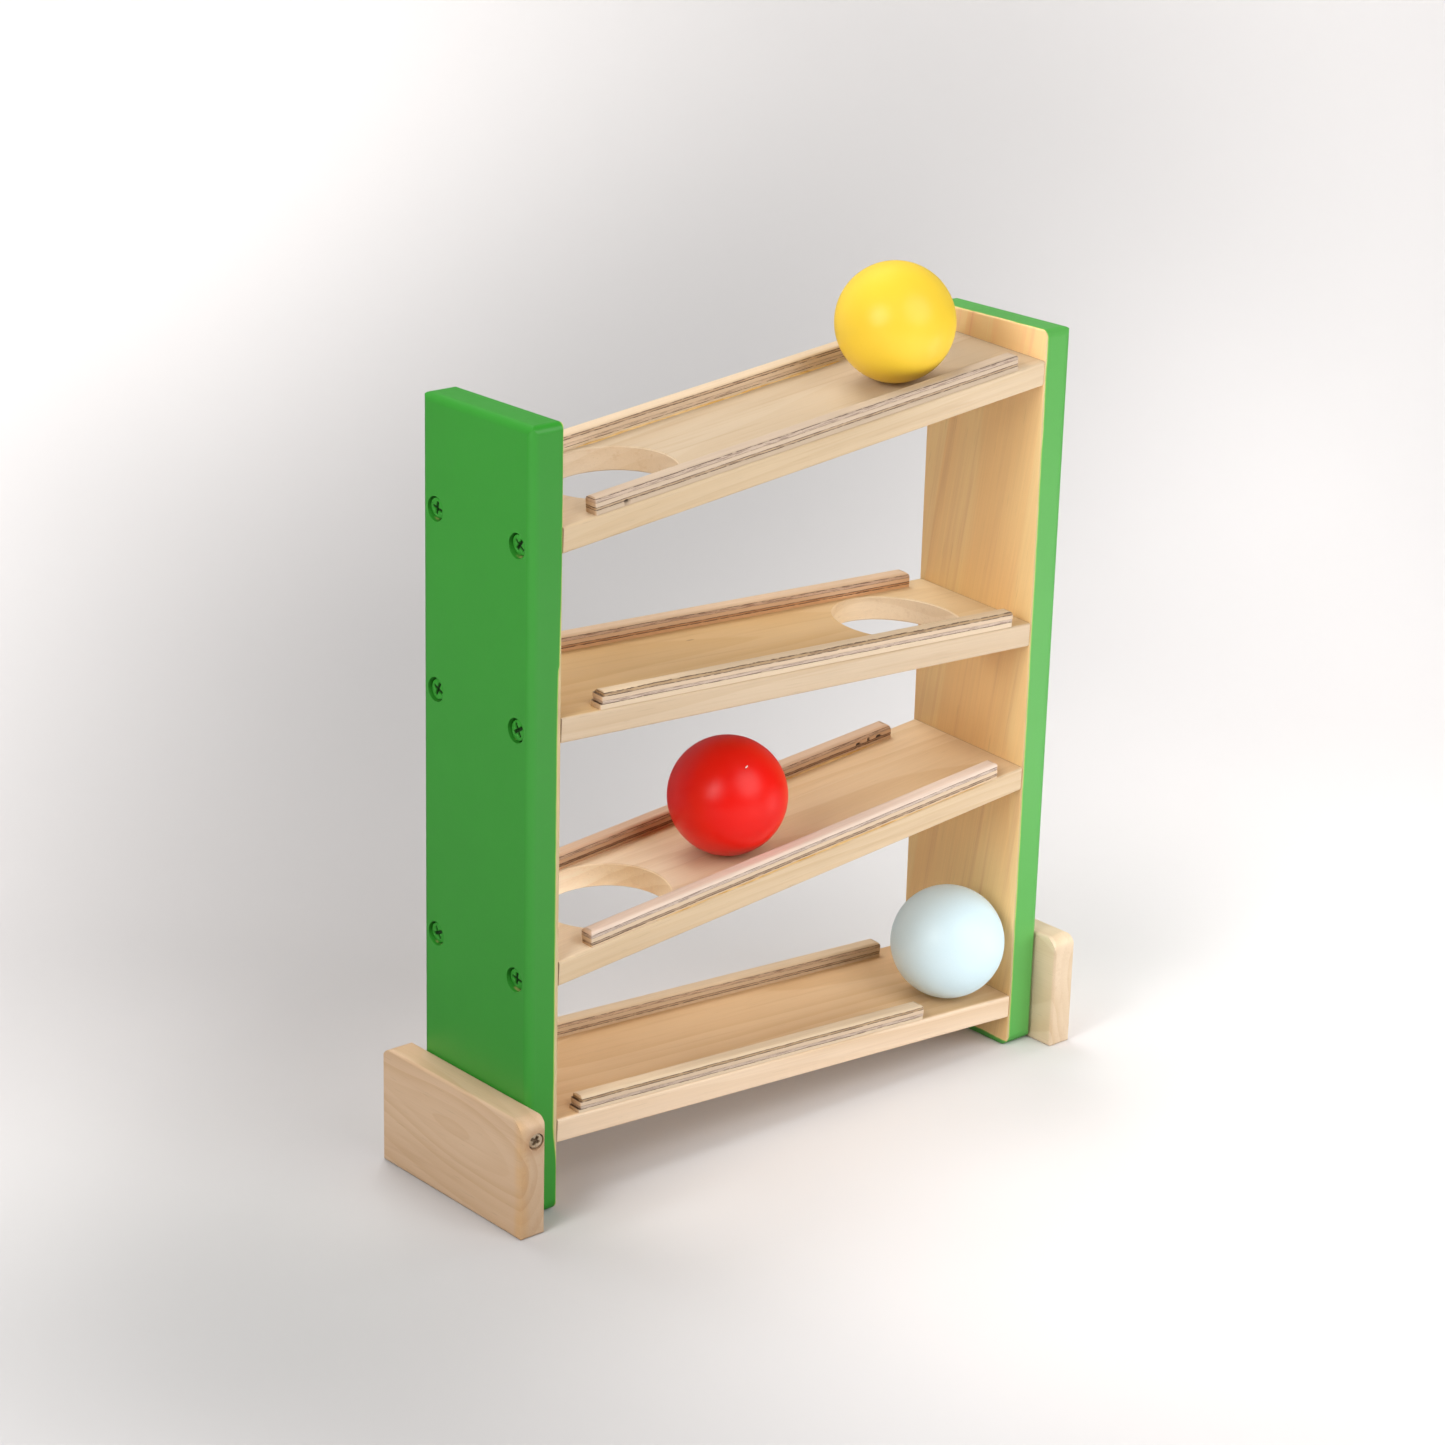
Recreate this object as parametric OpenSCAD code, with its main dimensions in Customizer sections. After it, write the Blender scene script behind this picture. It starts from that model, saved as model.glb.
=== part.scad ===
// Wooden ball run: four sloping ramps screwed between two upright side boards.
// A ball rolls down each ramp, drops through the hole at its low end and lands on the next one.
// Millimetres. X runs along the ramps, the front is -Y, and the run stands on Z = 0.

/* [Side boards] */
// Clear width between the two side boards
inside_w = 230; // [200:1:300]
// Thickness of a side board
board_t = 13.5; // [12:0.5:20]
// Depth of a side board, front to back
board_d = 62; // [58:0.5:80]
// Height of a side board
board_h = 293; // [288:1:340]
// Rounding of the painted outer edges
board_edge_r = 3; // [1:0.1:3.4]
// Rounding of the two bottom corners, seen from the side
board_bottom_r = 5; // [2:0.5:8]
// Slight easing of the bare inner edges
board_inner_r = 0.8; // [0.2:0.1:1.2]

/* [Ramps] */
// Thickness of a ramp plank
ramp_t = 9.5; // [8:0.5:12]
// Drop from the top of the left board to the middle of the top plank
top_drop_left = 40; // [30:0.5:60]
// Drop from the top of the right board to the middle of the top plank
top_drop_right = 15; // [10:0.5:30]
// Height of the middle of each lower plank where it meets the left board, second ramp first
lower_left_z = [185, 94, 33]; // [20:0.5:200]
// Height of the middle of each lower plank where it meets the right board, second ramp first
lower_right_z = [175, 116, 19]; // [15:0.5:200]
// Lean of the planks towards the front, in degrees
ramp_lean = 2.8; // [0:0.1:4]
// Distance from a board's front or back to the plank's own
ramp_inset = 0.3; // [0.3:0.1:2]
// Easing of the planks' long edges
ramp_edge_r = 1; // [0.4:0.1:2]
// Rounding of the planks' corners at the boards, seen from above
ramp_corner_r = 1; // [0.6:0.1:2]

/* [Ball holes] */
// Diameter of the holes that the balls drop through
hole_d = 50; // [48:0.5:52]
// Distance from the low side board to the hole's centre, along the plank
hole_to_board = 44; // [36:0.5:60]
// Distance of the hole's centre in front of the plank's middle
hole_forward = 2; // [0:0.25:2.5]
// Easing of the holes' two rims
hole_ease = 0.5; // [0.2:0.1:0.8]

/* [Guard rails] */
// Width of a plywood rail
rail_w = 6; // [4:0.25:7]
// Height of a plywood rail
rail_h = 6; // [4:0.25:9]
// Distance from the plank's long edge to the rail
rail_setback = 0.4; // [0.2:0.1:2]
// Rounding of the rail's upper edges
rail_edge_r = 1.4; // [0.5:0.1:1.8]
// Gap between each front rail and the left board, top ramp first
front_gap_left = [15, 17.5, 15.5, 10]; // [6:0.5:40]
// Gap between each front rail and the right board, wide on the bottom ramp where the balls come out
front_gap_right = [13.5, 10, 13, 48]; // [6:0.5:70]
// Gap between each back rail and the left board, top ramp first
back_gap_left = [14, 15, 10, 8]; // [6:0.5:40]
// Gap between each back rail and the right board, top ramp first
back_gap_right = [14, 12.5, 18, 20]; // [6:0.5:40]

/* [Feet] */
// Length of a foot, front to back
foot_l = 83; // [78:1:140]
// Height of a foot
foot_h = 46; // [44:0.5:60]
// Thickness of a foot
foot_t = 11; // [10:0.5:16]
// Rounding of a foot's two top corners, seen from the side
foot_corner_r = 6; // [3:0.5:12]
// Easing of a foot's other edges
foot_edge_r = 1.2; // [0.4:0.1:2]

/* [Ramp screws] */
// Diameter of a screw's shank
screw_d = 3.6; // [3:0.1:4.2]
// Length of a screw under its head
screw_l = 28; // [22:1:34]
// Length of a screw's pointed tip
screw_tip = 6; // [4:0.5:8]
// Radius of the tip's blunt end
tip_end_r = 0.2; // [0.1:0.1:0.5]
// Diameter of a screw's head
head_d = 7.4; // [6.5:0.1:7.8]
// Height of a screw's head
head_h = 2.4; // [2:0.1:2.8]
// Bevel round the top of a head
head_bevel = 0.6; // [0.3:0.1:1]
// Distance between the two screws at a ramp's end
screw_spread = 46; // [36:1:48]
// Diameter of the sunk hole that a head sits in
recess_d = 9; // [8.4:0.1:10]
// Depth of the sunk hole from the board's outer face
recess_depth = 3.6; // [3.2:0.1:5]
// Radial room round a screw's shank
screw_fit = 0.1; // [0.05:0.05:0.3]
// Length of one arm of the driver cross, end to end
cross_l = 4.8; // [3.4:0.1:5]
// Width of an arm of the driver cross
cross_w = 1.1; // [0.8:0.1:1.4]
// Depth of the driver cross
cross_depth = 1.5; // [1:0.1:1.8]

/* [Foot screws] */
// Height of the foot screw above the ground
foot_screw_z = 37; // [36.5:0.5:38]
// Distance of its head from the foot's inner face
foot_screw_in = 4.2; // [3.8:0.1:5]
// Angle at which it turns in towards the side board
foot_screw_angle = 13; // [11:0.5:15]
// Length under its head
foot_screw_l = 24; // [20:1:25]
// Diameter of its head
foot_head_d = 5.4; // [4.6:0.1:6]
// Depth of its sunk hole
foot_recess_depth = 3.5; // [3:0.1:4.5]
// Diameter of its sunk hole
foot_recess_d = 6.4; // [6.2:0.1:7]

/* [Balls] */
// Diameter of a ball
ball_d = 45; // [44.5:0.25:46]
// Room left between a ball and the wood that it rolls on
ball_lift = 0.3; // [0.2:0.05:0.6]
// Distance of the rolling balls in front of the middle
ball_forward = 5.75; // [0:0.25:8]
// Distance of the yellow ball from the right board, at its centre
yellow_from_right = 56; // [24:0.5:150]
// Distance of the red ball from the right board, at its centre
red_from_right = 132; // [24:0.5:150]
// Distance of the light blue ball in front of the middle, out in the exit
exit_forward = 15.6; // [12:0.2:17]

/* [Hidden] */

$fn = 64;
LEFT = -1;
RIGHT = 1;
FRONT = -1;
BACK = 1;
eps = 0.01;
half_w = inside_w / 2;
outer_x = half_w + board_t;
ramp_d = board_d - 2 * ramp_inset;
ramps = [0, 1, 2, 3];
ramp_left_z = concat([board_h - top_drop_left], lower_left_z);
ramp_right_z = concat([board_h - top_drop_right], lower_right_z);
// The side that a ramp's hole is on: its low end, and none on the bottom ramp
hole_side = [LEFT, RIGHT, LEFT, 0];
paint_green = [0.26, 0.60, 0.25];
pale_wood = [0.88, 0.75, 0.58];
plywood = [0.84, 0.70, 0.55];
steel = [0.75, 0.74, 0.71];

// Rise of a ramp from left to right, in degrees
function slope(i) = atan2(ramp_right_z[i] - ramp_left_z[i], inside_w);
// Half the length of a plank's middle line between the boards
function half_run(i) = half_w / cos(slope(i));
// Distance of a board's outer face from the plank's centre, along the plank
function outer_run(i) = outer_x / cos(slope(i));
// Place along a plank that has the given world x, for a point y across and z above its middle
function along(i, x, y, z) =
    (x + (y * sin(ramp_lean) + z * cos(ramp_lean)) * sin(slope(i))) / cos(slope(i));
// Height of a resting ball's centre above a plank's middle
ball_z = ramp_t / 2 + ball_lift + ball_d / 2;

// Rectangle about the origin with its corners rounded: lower left, lower right, upper right, upper left
module corner_rect(w, h, radii) {
    difference() {
        square([w, h], center = true);
        for (k = [0:3]) {
            side_x = (k == 0 || k == 3) ? -1 : 1;
            side_y = (k < 2) ? -1 : 1;
            r = radii[k];
            translate([side_x * (w / 2 - r), side_y * (h / 2 - r)])
                difference() {
                    translate([side_x * (r + eps) / 2, side_y * (r + eps) / 2])
                        square(r + eps, center = true);
                    circle(r);
                }
        }
    }
}

// Block about the origin, rounded in its front view, its side view and its plan
module eased_block(size, front_radii, side_radii, plan_radii) {
    intersection() {
        rotate([90, 0, 0])
            linear_extrude(size[1] + 2 * eps, center = true)
                corner_rect(size[0], size[2], front_radii);
        rotate([90, 0, 90])
            linear_extrude(size[0] + 2 * eps, center = true)
                corner_rect(size[1], size[2], side_radii);
        linear_extrude(size[2] + 2 * eps, center = true)
            corner_rect(size[0], size[1], plan_radii);
    }
}

// Puts its children on ramp i: x along the plank, y across it, z square to its face
module on_ramp(i) {
    translate([0, 0, (ramp_left_z[i] + ramp_right_z[i]) / 2])
        rotate([ramp_lean, -slope(i), 0])
            children();
}

// Repeats its children at the two screws of one end of ramp i, pointing in along the plank
module at_ramp_screws(i, side) {
    on_ramp(i)
        for (across = [FRONT, BACK])
            translate([side * outer_run(i), across * screw_spread / 2, 0])
                rotate([0, -side * 90, 0])
                    children();
}

// Puts its children at the foot screw, pointing in towards the side board
module at_foot_screw(side) {
    translate([side * (outer_x + foot_screw_in), side * foot_l / 2, foot_screw_z])
        rotate([90 * side, 0, 0])
            rotate([0, -foot_screw_angle * side, 0])
                children();
}

// Screw along +Z with the top of its head at Z = 0
module cross_screw(top_d, long) {
    difference() {
        union() {
            cylinder(head_bevel, top_d / 2 - head_bevel, top_d / 2);
            translate([0, 0, head_bevel])
                cylinder(head_h - head_bevel, d = top_d);
            translate([0, 0, head_h])
                cylinder(long - screw_tip, d = screw_d);
            translate([0, 0, head_h + long - screw_tip])
                cylinder(screw_tip, screw_d / 2, tip_end_r);
        }
        for (turn = [0, 90])
            rotate(turn)
                translate([-cross_l / 2, -cross_w / 2, -eps])
                    cube([cross_l, cross_w, cross_depth + eps]);
    }
}

// Bore for a screw's shank, from its sunk head inwards
module shank_bore(sunk, long) {
    translate([0, 0, sunk - eps])
        cylinder(long + screw_fit, d = screw_d + 2 * screw_fit);
}

// Sunk hole for a screw's head, open outwards
module head_bore(d, sunk) {
    translate([0, 0, -sunk])
        cylinder(2 * sunk, d = d);
}

module side_board(side) {
    edge = board_edge_r;
    inner = board_inner_r;
    low = side == LEFT ? edge : inner;
    high = side == LEFT ? inner : edge;
    color(paint_green)
        difference() {
            translate([side * (half_w + board_t / 2), 0, board_h / 2])
                eased_block(
                    [board_t, board_d, board_h],
                    [low, high, high, low],
                    [board_bottom_r, board_bottom_r, edge, edge],
                    [low, high, high, low]
                );
            for (i = ramps)
                at_ramp_screws(i, side) {
                    head_bore(recess_d, recess_depth);
                    shank_bore(recess_depth, screw_l);
                }
            at_foot_screw(side)
                shank_bore(foot_recess_depth, foot_screw_l);
        }
}

// Ball hole through a plank, with both rims eased
module ball_hole() {
    rim = hole_ease + eps;
    cylinder(2 * ramp_t, d = hole_d, center = true);
    for (face = [-1, 1])
        translate([0, 0, face * (ramp_t / 2 + eps)])
            rotate([face > 0 ? 180 : 0, 0, 0])
                cylinder(rim, hole_d / 2 + rim, hole_d / 2);
}

module ramp(i) {
    long = 2 * half_run(i) + 2 * ramp_t;
    edge = ramp_edge_r;
    corner = ramp_corner_r;
    color(pale_wood)
        difference() {
            intersection() {
                on_ramp(i)
                    rotate([90, 0, 90])
                        linear_extrude(long, center = true)
                            corner_rect(ramp_d, ramp_t, [edge, edge, edge, edge]);
                linear_extrude(2 * board_h)
                    corner_rect(inside_w, board_d, [corner, corner, corner, corner]);
            }
            if (hole_side[i] != 0)
                on_ramp(i)
                    translate([hole_side[i] * (half_run(i) - hole_to_board), -hole_forward, 0])
                        ball_hole();
            for (side = [LEFT, RIGHT])
                at_ramp_screws(i, side)
                    shank_bore(recess_depth, screw_l);
        }
}

// Plywood strip along X with its middle at the origin's level, flat below and rounded above
module rail_strip(long) {
    r = rail_edge_r;
    translate([0, 0, rail_h / 2])
        intersection() {
            rotate([90, 0, 90])
                linear_extrude(long, center = true)
                    corner_rect(rail_w, rail_h, [0, 0, r, r]);
            rotate([90, 0, 0])
                linear_extrude(rail_w, center = true)
                    corner_rect(long, rail_h, [0, 0, r, r]);
        }
}

module rail(i, row) {
    gap_left = row == FRONT ? front_gap_left[i] : back_gap_left[i];
    gap_right = row == FRONT ? front_gap_right[i] : back_gap_right[i];
    long = 2 * half_run(i) - gap_left - gap_right;
    color(plywood)
        on_ramp(i)
            translate([
                (gap_left - gap_right) / 2,
                row * (ramp_d / 2 - rail_setback - rail_w / 2),
                ramp_t / 2
            ])
                rail_strip(long);
}

module foot(side) {
    e = foot_edge_r;
    top = foot_corner_r;
    color(pale_wood)
        difference() {
            translate([side * (outer_x + foot_t / 2), 0, foot_h / 2])
                eased_block([foot_t, foot_l, foot_h], [e, e, e, e], [e, e, top, top], [e, e, e, e]);
            at_foot_screw(side) {
                head_bore(foot_recess_d, foot_recess_depth);
                shank_bore(foot_recess_depth, foot_screw_l);
            }
        }
}

module side_screws(side) {
    color(paint_green)
        for (i = ramps)
            at_ramp_screws(i, side)
                translate([0, 0, recess_depth - head_h])
                    cross_screw(head_d, screw_l);
}

module foot_screws() {
    color(steel)
        for (side = [LEFT, RIGHT])
            at_foot_screw(side)
                translate([0, 0, foot_recess_depth - head_h])
                    cross_screw(foot_head_d, foot_screw_l);
}

module ball(i, x, forward, paint) {
    color(paint)
        on_ramp(i)
            translate([along(i, x, -forward, ball_z), -forward, ball_z])
                sphere(d = ball_d, $fn = 96);
}

module yellow_ball() {
    ball(0, half_w - yellow_from_right, ball_forward, [0.97, 0.85, 0.24]);
}

module red_ball() {
    ball(2, half_w - red_from_right, ball_forward, [0.85, 0.08, 0.06]);
}

module light_blue_ball() {
    ball(3, half_w - ball_d / 2 - ball_lift, exit_forward, [0.85, 0.93, 0.95]);
}

side_board(LEFT);  // left_side_board
side_board(RIGHT);  // right_side_board
ramp(0);  // ramp_1
ramp(1);  // ramp_2
ramp(2);  // ramp_3
ramp(3);  // ramp_4
rail(0, FRONT);  // ramp_1_front_rail
rail(0, BACK);  // ramp_1_back_rail
rail(1, FRONT);  // ramp_2_front_rail
rail(1, BACK);  // ramp_2_back_rail
rail(2, FRONT);  // ramp_3_front_rail
rail(2, BACK);  // ramp_3_back_rail
rail(3, FRONT);  // ramp_4_front_rail
rail(3, BACK);  // ramp_4_back_rail
foot(LEFT);  // left_foot
foot(RIGHT);  // right_foot
side_screws(LEFT);  // left_side_screws
side_screws(RIGHT);  // right_side_screws
foot_screws();
yellow_ball();
red_ball();
light_blue_ball();
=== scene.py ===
"""Looks of the wooden ball run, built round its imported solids.

Metres in the frame of the solids: X along the ramps, the front at -Y, the ground at Z = 0.
The boards, ramps, feet and balls keep their solids and get their finishes here. The plywood
rails and the screws are worked out as number grids, in millimetres, and stand for their solids.
"""
import math

import bmesh
import bpy
import numpy as np
from mathutils import Matrix


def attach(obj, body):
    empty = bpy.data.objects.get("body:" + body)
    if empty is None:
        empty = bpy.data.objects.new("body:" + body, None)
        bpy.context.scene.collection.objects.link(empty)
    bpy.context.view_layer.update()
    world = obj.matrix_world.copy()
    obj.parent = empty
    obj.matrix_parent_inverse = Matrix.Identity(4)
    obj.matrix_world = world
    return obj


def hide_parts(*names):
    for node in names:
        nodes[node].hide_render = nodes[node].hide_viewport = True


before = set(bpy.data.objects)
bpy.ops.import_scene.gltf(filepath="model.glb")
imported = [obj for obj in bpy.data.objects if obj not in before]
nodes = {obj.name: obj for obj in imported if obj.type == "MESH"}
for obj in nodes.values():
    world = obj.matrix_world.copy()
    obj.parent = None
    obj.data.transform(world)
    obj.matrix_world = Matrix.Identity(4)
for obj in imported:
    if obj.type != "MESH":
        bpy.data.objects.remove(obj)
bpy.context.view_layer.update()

# Sizes in millimetres, as the part's source has them
MM = 0.001
HALF_W, OUTER_X, BOARD_H = 115.0, 128.5, 293.0
RAMP_D, RAMP_T = 61.4, 9.5
RAMP_LEFT_Z = (253.0, 185.0, 94.0, 33.0)
RAMP_RIGHT_Z = (278.0, 175.0, 116.0, 19.0)
LEAN = math.radians(2.8)
RAIL_W, RAIL_H, RAIL_SETBACK, RAIL_EDGE_R = 6.0, 6.0, 0.4, 1.4
FRONT_GAPS = ((15.0, 13.5), (17.5, 10.0), (15.5, 13.0), (10.0, 48.0))
BACK_GAPS = ((14.0, 14.0), (15.0, 12.5), (10.0, 18.0), (8.0, 20.0))
SCREW_SPREAD, SCREW_L, SCREW_D, HEAD_H, HEAD_PROUD = 46.0, 28.0, 3.6, 2.4, 0.35
HEAD_D, RECESS_DEPTH = 7.4, 3.6
FOOT_L, FOOT_T, FOOT_H = 83.0, 11.0, 46.0
FOOT_SCREW_Z, FOOT_SCREW_IN, FOOT_SCREW_L = 37.0, 4.2, 24.0
FOOT_HEAD_D, FOOT_RECESS_DEPTH = 5.4, 3.5
FOOT_SCREW_ANGLE = math.radians(13)
LEFT, RIGHT, FRONT, BACK = -1, 1, -1, 1
SIDE_WORD = {LEFT: "left", RIGHT: "right"}
ROW_WORD = {FRONT: "front", BACK: "back"}


def srgb(red, green, blue):
    """Linear colour of a screen colour given as 0 to 255."""
    share = np.array([red, green, blue]) / 255.0
    linear = np.where(share <= 0.04045, share / 12.92, ((share + 0.055) / 1.055) ** 2.4)
    return (*linear.tolist(), 1.0)


def turn_about(axis, angle):
    """Turn about the X, Y or Z axis by an angle."""
    first, second = ("XYZ".index(axis) + 1) % 3, ("XYZ".index(axis) + 2) % 3
    matrix = np.eye(3)
    matrix[first, first] = matrix[second, second] = math.cos(angle)
    matrix[second, first] = math.sin(angle)
    matrix[first, second] = -math.sin(angle)
    return matrix


def slope(i):
    """Rise of ramp i from left to right, as an angle."""
    return math.atan2(RAMP_RIGHT_Z[i] - RAMP_LEFT_Z[i], 2 * HALF_W)


def half_run(i):
    """Half the length of a plank's middle line between the boards."""
    return HALF_W / math.cos(slope(i))


def ramp_middle(i):
    """Middle point of ramp i."""
    return np.array([0.0, 0.0, (RAMP_LEFT_Z[i] + RAMP_RIGHT_Z[i]) / 2])


def on_ramp(i, points):
    """Points given along, across and above a plank's middle, leaned, sloped and lifted with it."""
    return points @ (turn_about("Y", -slope(i)) @ turn_about("X", LEAN)).T + ramp_middle(i)


def grid_faces(rows, columns):
    """Quads between neighbours of a rows by columns grid that closes round its columns."""
    row = np.arange(rows - 1)[:, None] * columns
    here = np.arange(columns)[None, :]
    there = (here + 1) % columns
    corners = [row + here, row + there, row + columns + there, row + columns + here]
    return np.stack(corners, -1).reshape(-1, 4)


# Faces that meet at more than this angle keep a crisp edge
CRISP_ANGLE = math.radians(35)


def make_mesh(name, points, faces, layers=None):
    """Mesh of points in millimetres, its seams and poles welded and its faces turned outwards.

    layers names vectors or numbers that go on the points for the finish to read.
    """
    mesh = bpy.data.meshes.new(name)
    mesh.from_pydata((points * MM).tolist(), [], faces.tolist())
    for label, values in (layers or {}).items():
        kind, field = ("FLOAT_VECTOR", "vector") if values.ndim == 2 else ("FLOAT", "value")
        layer = mesh.attributes.new(label, kind, "POINT")
        layer.data.foreach_set(field, np.ascontiguousarray(values, dtype=np.float32).ravel())
    shell = bmesh.new()
    shell.from_mesh(mesh)
    bmesh.ops.remove_doubles(shell, verts=shell.verts, dist=2e-7)
    bmesh.ops.recalc_face_normals(shell, faces=shell.faces)
    shell.to_mesh(mesh)
    shell.free()
    mesh.shade_smooth()
    mesh.set_sharp_from_angle(angle=CRISP_ANGLE)
    return mesh


def put_in_scene(name, data):
    """New object of the scene holding a mesh, a lamp or a camera."""
    thing = bpy.data.objects.new(name, data)
    bpy.context.scene.collection.objects.link(thing)
    return thing


def make_piece(name, mesh, material, slot, *stands_for):
    """Fixed piece of the run from a mesh, with its finish, standing for the named solids."""
    piece = put_in_scene(name, mesh)
    mesh.materials.append(material)
    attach(piece, "frame")
    if stands_for:
        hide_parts(*stands_for)


class Wiring:
    """Short calls for the nodes of one material or group; any input takes a value or a socket."""

    def __init__(self, tree):
        self.tree = tree

    def put(self, socket, value):
        if isinstance(value, bpy.types.NodeSocket):
            self.tree.links.new(value, socket)
        else:
            socket.default_value = value

    def add(self, kind, inputs=None, **settings):
        node = self.tree.nodes.new(kind)
        for key, value in settings.items():
            setattr(node, key, value)
        for key, value in (inputs or {}).items():
            self.put(node.inputs[key], value)
        return node

    def math(self, operation, a, b=0.0, c=0.0):
        return self.add("ShaderNodeMath", {0: a, 1: b, 2: c}, operation=operation).outputs[0]

    def times(self, a, b):
        return self.math("MULTIPLY", a, b)

    def plus(self, a, b):
        return self.math("ADD", a, b)

    def minus(self, a, b):
        return self.math("SUBTRACT", a, b)

    def vector(self, operation, a, b=(0.0, 0.0, 0.0)):
        node = self.add("ShaderNodeVectorMath", {0: a, 1: b}, operation=operation)
        return node.outputs[1 if operation in ("LENGTH", "DISTANCE", "DOT_PRODUCT") else 0]

    def scaled(self, vector, factor):
        node = self.add("ShaderNodeVectorMath", {0: vector, "Scale": factor}, operation="SCALE")
        return node.outputs[0]

    def split(self, vector):
        return self.add("ShaderNodeSeparateXYZ", {0: vector}).outputs

    def noise(self, place, stretch, detail=2.0, roughness=0.5, output="Fac"):
        stretched = self.vector("MULTIPLY", place, stretch)
        inputs = {"Vector": stretched, "Scale": 1.0, "Detail": detail, "Roughness": roughness}
        return self.add("ShaderNodeTexNoise", inputs).outputs[output]

    def step(self, value, low, high, start=0.0, end=1.0):
        """Smooth step from start, where value is low, to end, where it is high."""
        inputs = {0: value, 1: low, 2: high, 3: start, 4: end}
        node = self.add("ShaderNodeMapRange", inputs, interpolation_type="SMOOTHSTEP")
        return node.outputs[0]

    def mix(self, share, a, b, blend="MIX"):
        inputs = {0: share, 6: a, 7: b}
        return self.add("ShaderNodeMix", inputs, data_type="RGBA", blend_type=blend).outputs[2]

    def blend(self, share, a, b):
        """Number between a and b by a share."""
        return self.add("ShaderNodeMix", {0: share, 2: a, 3: b}, data_type="FLOAT").outputs[0]

    def shade(self, colour, value):
        """Colour times a number."""
        grey = self.add("ShaderNodeCombineColor", {0: value, 1: value, 2: value}).outputs[0]
        return self.mix(1.0, colour, grey, "MULTIPLY")

    def tint(self, share, colour, factors):
        """Colour, and by a share the same colour times factors."""
        return self.mix(share, colour, self.mix(1.0, colour, factors, "MULTIPLY"))

    def attribute(self, name, output="Fac"):
        return self.add("ShaderNodeAttribute", attribute_name=name).outputs[output]

    def bands(self, share, stops):
        """Colour ramp through (place, colour) stops in their order."""
        node = self.add("ShaderNodeValToRGB", {0: share})
        ramp = node.color_ramp
        while len(ramp.elements) < len(stops):
            ramp.elements.new(0.5)
        for element, (place, colour) in zip(ramp.elements, stops):
            element.position = place
            element.color = colour
        return node.outputs[0]


def new_group(name, inputs, outputs):
    """Empty shader node group with named sockets: its tree, wiring, inside inputs and outputs."""
    kinds = {"v": "NodeSocketVector", "f": "NodeSocketFloat", "c": "NodeSocketColor"}
    tree = bpy.data.node_groups.new(name, "ShaderNodeTree")
    for in_out, sockets in (("INPUT", inputs), ("OUTPUT", outputs)):
        for label, kind in sockets.items():
            tree.interface.new_socket(label, in_out=in_out, socket_type=kinds[kind])
    wiring = Wiring(tree)
    inside = wiring.add("NodeGroupInput").outputs
    outside = wiring.add("NodeGroupOutput").inputs
    return tree, wiring, inside, outside


def use_group(wiring, tree, **values):
    """Group placed in a material, its sockets set by name with spaces written as underscores."""
    node = wiring.add("ShaderNodeGroup", node_tree=tree)
    for label, value in values.items():
        wiring.put(node.inputs[label.replace("_", " ")], value)
    return node.outputs


def new_material(name, **shader_values):
    """Material with a Principled shader, its constants set on the shader's own sockets."""
    material = bpy.data.materials.new(name)
    material.use_nodes = True
    wiring = Wiring(material.node_tree)
    shader = material.node_tree.nodes["Principled BSDF"]
    for label, value in shader_values.items():
        shader.inputs[label.replace("_", " ")].default_value = value
    return material, wiring, shader


def object_place(wiring, middle=(0, 0, 0), turn=(0, 0, 0)):
    """Object coordinates in millimetres about a middle point, in a piece's own directions."""
    where = wiring.add("ShaderNodeTexCoord").outputs["Object"]
    mapping = wiring.add("ShaderNodeMapping", {"Vector": where}, vector_type="TEXTURE")
    mapping.inputs["Location"].default_value = [v * MM for v in middle]
    mapping.inputs["Rotation"].default_value = turn
    mapping.inputs["Scale"].default_value = (MM, MM, MM)
    return mapping.outputs[0]


def bump(wiring, shader, height, distance):
    """Bump feeding the shader's normal; a height of 1 stands a distance in millimetres proud."""
    inputs = {"Height": height, "Strength": 1.0, "Distance": distance * MM}
    wiring.put(shader.inputs["Normal"], wiring.add("ShaderNodeBump", inputs).outputs[0])


def finish(wiring, shader, colour, roughness, height, distance):
    """Colour, roughness and bump of a finish put on its shader."""
    wiring.put(shader.inputs["Base Color"], colour)
    wiring.put(shader.inputs["Roughness"], roughness)
    bump(wiring, shader, height, distance)


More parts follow.
